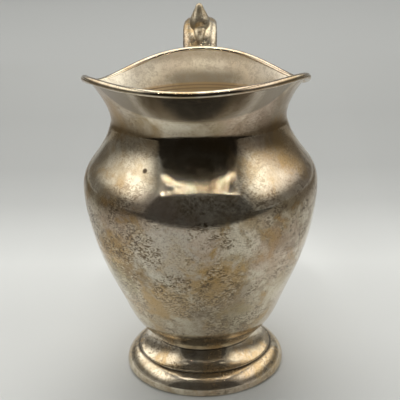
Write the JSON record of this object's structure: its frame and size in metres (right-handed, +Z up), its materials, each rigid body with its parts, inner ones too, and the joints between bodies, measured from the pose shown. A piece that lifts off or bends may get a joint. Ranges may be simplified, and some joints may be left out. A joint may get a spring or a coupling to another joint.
{
  "type": "water pitcher",
  "caption": "Silver water pitcher with a round-shouldered bowl, flared pouring lip with a beaded edge, moulded round foot and a hollow loop handle with a pointed thumb rest.",
  "frame": {"origin": "on the vessel's axis, in the plane that the foot rests on", "axes": "+Z up along the vessel's axis, the spout points to -Y and the handle to +Y, and X is left to right across it, over which the pitcher is symmetric"},
  "size_m": [0.148, 0.2087, 0.227],
  "materials": {
    "bowl_silver": "old polished silver plate with patches of tarnish",
    "collar_silver": "old polished silver plate, tarnished inside the mouth",
    "bead_silver": "silver plate rubbed bright on its edge",
    "foot_silver": "old polished silver plate with dark lines in its mouldings",
    "ring_silver": "dull silver plate worn by the table",
    "solder": "dull grey silver solder",
    "handle_silver": "old polished silver plate",
    "thumb_silver": "silver plate rubbed bright by the thumb"
  },
  "bodies": {
    "root": {"bowl_shell": "bowl_silver", "mouth_collar": "collar_silver", "rim_bead": "bead_silver", "foot_shell": "foot_silver", "foot_base_ring": "ring_silver", "foot_solder_fillet": "solder", "upper_handle_pad": "handle_silver", "lower_handle_pad": "handle_silver", "handle_left_half": "handle_silver", "handle_right_half": "handle_silver", "thumb_rest": "thumb_silver"}
  },
  "joints": []
}
